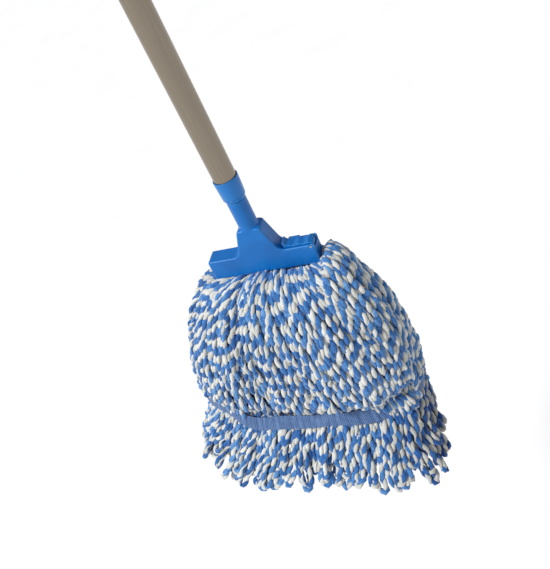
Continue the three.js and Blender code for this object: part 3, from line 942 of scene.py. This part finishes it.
# %% Band strips: the pieces
def band_strip(name, first_share, last_share):
    points, flat_map = band_points(first_share, last_share, np.random.default_rng(3))
    mesh = bpy.data.meshes.new(name)
    faces = [(i * across_count + j, (i + 1) * across_count + j, (i + 1) * across_count + j + 1,
              i * across_count + j + 1) for i in range(along_count - 1) for j in range(across_count - 1)]
    mesh.from_pydata((points * MM + [0, 0, arm_top]).tolist(), [], faces)
    layer = mesh.uv_layers.new(name="along_and_across")
    corner = np.empty(len(mesh.loops), np.int32)
    mesh.loops.foreach_get("vertex_index", corner)
    layer.uv.foreach_set("vector", flat_map[corner].astype(np.float32).ravel())
    piece = bpy.data.objects.new(name, mesh)
    bpy.context.collection.objects.link(piece)
    chosen(piece)
    bpy.ops.object.mode_set(mode="EDIT")
    bpy.ops.mesh.select_all(action="SELECT")
    bpy.ops.mesh.normals_make_consistent(inside=False)
    bpy.ops.object.mode_set(mode="OBJECT")
    apply_modifier(piece, "SOLIDIFY", thickness=1.1 * MM, offset=0)
    chosen(piece)
    bpy.ops.object.shade_smooth_by_angle(angle=math.radians(50))
    return piece, (band_depth * MM, (last_share - first_share) * band_girth * MM)


for side_name, ends in (("front", (-0.252, 0.252)), ("back", (0.248, 0.752))):
    piece, flat = band_strip("band_" + side_name, *ends)
    finish_piece(piece, "head", "webbing", "tail_band_" + side_name, materials=[band_weave])
    print(piece.name, "flat", [round(v, 4) for v in flat])

# %% [markdown]
# ## Header
# Inside the clamp the strands are folded over and sewn into a tape, and the jaw grips that tape. It
# only shows when the jaw is open. The tape keeps its CAD shape with a woven finish, and short strands
# in two rows stand for the yarn inside it.

# %% Header tape
tape_weave, tree, shader = finish_material("tape_weave", Roughness=0.88, Sheen_Weight=0.3)
weave = noise(tree, 1.0, 2, stretch=(900, 900, 300))
tree.links.new(ramp(tree, weave, [(0.3, srgb("3D5C9C")), (0.7, srgb("6E8AC0"))]),
               shader.inputs["Base Color"])
bump(tree, shader, weave, 0.5, 0.3 * MM)
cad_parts["header_tape"].data.materials[0] = tape_weave

# %% Header strands
header_low, header_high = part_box("header_yarn")
header_count, header_points, header_ply_scale = 44, 12, 0.42
end_margin, row_places = 3, (-3.1, 0.1)
header_lines = np.empty((header_count, header_points, 3))
header_lines[..., 0] = np.linspace(header_low[0] / MM + end_margin, header_high[0] / MM - end_margin,
                                   header_count)[:, None]
header_lines[..., 1] = np.where(np.arange(header_count) % 2, *row_places)[:, None]
header_lines[..., 2] = np.linspace(below_arms(header_low[2]), below_arms(header_high[2]),
                                   header_points)[None]
header_out = np.zeros_like(header_lines)
header_out[..., 1] = -1
header_scale = np.full((header_count, header_points), header_ply_scale)
header_plies = two_plies(header_lines, header_out, header_scale, np.random.default_rng(5))
finish_piece(tubes("header_strands", header_plies, ply_sides), "head", "yarn", "header_yarn",
             materials=yarn_plies)

# %% [markdown]
# ## Fringe
# Below the band the yarn ends in loops, because the strands are one long yarn that turns back at the
# hem. Each loop is a hairpin: down from under the band, round at the tip and up again. Five layers,
# each nearer to the middle and thicker, fill the mop's underside. Loops could be curves copied round,
# but here too every one has its own length, sway and lift.

# %% The loops' lines
loop_count = 241
above_the_foot, tip_turn = 8, 30
narrowest_gap, widest_gap, most_sway = 3.6, 5.2, 10
# each place on the way round: its share, its width, and how much longer or how far out it hangs
longer_tips = [(0.17, 0.06, 13), (0.93, 0.06, 6)]
splayed_tips = [(0.83, 0.07, 9), (0.15, 0.05, 10), (0.33, 0.10, -26)]
fringe_middle = np.array([-18.0, -9.0, 0])


def sum_around(share, places):
    return sum(size * around(share, place, width) for place, width, size in places)[:, None]


def fringe_loops(count, depth, scale_in, points, rng, radius=1.0, rise=22.0):
    """Hairpins: down from the band, round at the tip and up again."""
    share = (np.arange(count) + rng.uniform(-0.2, 0.2, count)) / count
    half_gap = rng.uniform(narrowest_gap, widest_gap, (count, 1))
    tip = hem_foot + 2 + rng.uniform(0, 1, (count, 1)) ** 1.6 * rise
    tip = tip - sum_around(share, longer_tips)
    t = np.linspace(0, 1, loop_count)[None]
    top = band_foot + above_the_foot
    level = top + (tip - top) * np.minimum((1 - np.abs(2 * t - 1)) * 1.02, 1)
    to_tip = np.clip((level - tip) / half_gap, 0, 1)
    gap = half_gap * np.sqrt(np.clip(1 - (1 - to_tip) ** 2, 0, 1)) * np.sign(t - 0.5)
    girth = girth_at(level)
    legs = np.sign(t - 0.5) * girth / count / 4
    blend = np.clip((level - tip) / tip_turn, 0, 1)
    here = share[:, None] + (gap * (1 - blend) + legs * blend) / girth
    point, out, side = on_skirt(here, level)
    fall = np.clip((band_foot - level) / (band_foot - hem_foot), 0, 1.2)
    lift = rng.uniform(-6, 3, (count, 1)) * fall
    lift = lift + sum_around(share, splayed_tips) * fall
    sway = rng.uniform(-most_sway, most_sway, (count, 1)) * fall ** 1.2
    at_band = tuck_depth / (1 + np.exp((band_foot - 4 - level) / tuck_softness))
    inward = depth - lift + at_band
    inward = inward + wander(count, loop_count, (0.7, 0.3, 0.15), (1.6, 1.3, 0.6), rng)
    loose = np.minimum(fall * 2, 1)
    sway = sway + wander(count, loop_count, (0.5, 0.23, 0.12), (2.4, 1.4, 0.6), rng) * loose
    lines = point - out * inward[..., None] + side * sway[..., None]
    lines[..., :2] = fringe_middle[:2] + (lines[..., :2] - fringe_middle[:2]) * scale_in
    lines, _ = resampled(lines, points)
    outs = np.repeat(unit(lines[:, :1] * [1, 1, 0] - [fringe_middle]), points, 1)
    return share, lines, outs, np.full((count, points), radius)


# %% The front and back fringe
# How strongly painted shade darkens the fringe under the fold at the front right.
fringe_painted_shade = 1.3
fringe_layers = [fringe_loops(82, 3.5, 1.0, 60, rng), fringe_loops(72, 9.5, 1.0, 54, rng, 1.15),
                 fringe_loops(38, 13.0, 0.87, 42, rng, 1.45, 30),
                 fringe_loops(26, 14.0, 0.64, 36, rng, 1.95, 30),
                 fringe_loops(16, 14.0, 0.38, 36, rng, 2.3, 30)]
for side_name, front in (("front", True), ("back", False)):
    piece = yarn_piece("fringe_" + side_name + "_strands", fringe_layers, front, 40 + front,
                       fringe_painted_shade)
    finish_piece(piece, "head", "yarn", "fringe_" + side_name, materials=yarn_plies)

# %% [markdown]
# ## Floor and light
# The studio has a wide pale floor, well below the hanging mop so that it takes no hard shadow, and a
# grey sky that is brightest near the ground. One large soft sun comes from the upper left in front. A
# ring of area lamps could do the same, but a gradient sky is as soft and costs less to render.

# %% Floor
floor_size, floor_drop = 40, 0.9
floor_material, tree, shader = finish_material("studio_floor", Roughness=0.9)
floor_greys = [(0.3, (0.93, 0.93, 0.93)), (0.7, (0.96, 0.96, 0.96))]
tree.links.new(ramp(tree, noise(tree, 2, 2), floor_greys), shader.inputs["Base Color"])
deselect_all()
bpy.ops.mesh.primitive_plane_add(size=floor_size, location=(0, 0, cad_box[0][2] - floor_drop))
floor = bpy.context.active_object
floor.name = "studio_floor"
floor.data.materials.append(floor_material)

# %% Sky
world = bpy.data.worlds.new("studio")
world.use_nodes = True
sky = world.node_tree
sky_height = node(sky, "SeparateXYZ")
sky.links.new(node(sky, "TexCoord").outputs["Generated"], sky_height.inputs[0])
sky_greys = [(0.0, (0.80, 0.80, 0.80)), (0.25, (0.42, 0.42, 0.43)), (1.0, (0.30, 0.30, 0.31))]
sky.links.new(ramp(sky, sky_height.outputs["Z"], sky_greys), sky.nodes["Background"].inputs["Color"])
bpy.context.scene.world = world

# %% Sun
sun_place = Vector((-1.3, -1.2, arm_top + 1.9))
head_middle = Vector((0, 0, arm_top - 0.1))
sun_data = bpy.data.lights.new("key_sun", "SUN")
sun_data.energy = 3.0
sun_data.angle = math.radians(16)
sun = bpy.data.objects.new("key_sun", sun_data)
bpy.context.collection.objects.link(sun)
sun.location = sun_place
sun.rotation_euler = (head_middle - sun_place).to_track_quat("-Z", "Y").to_euler()
bpy.context.scene.view_settings.view_transform = "Standard"
print("sun from", [round(v, 2) for v in sun_place])
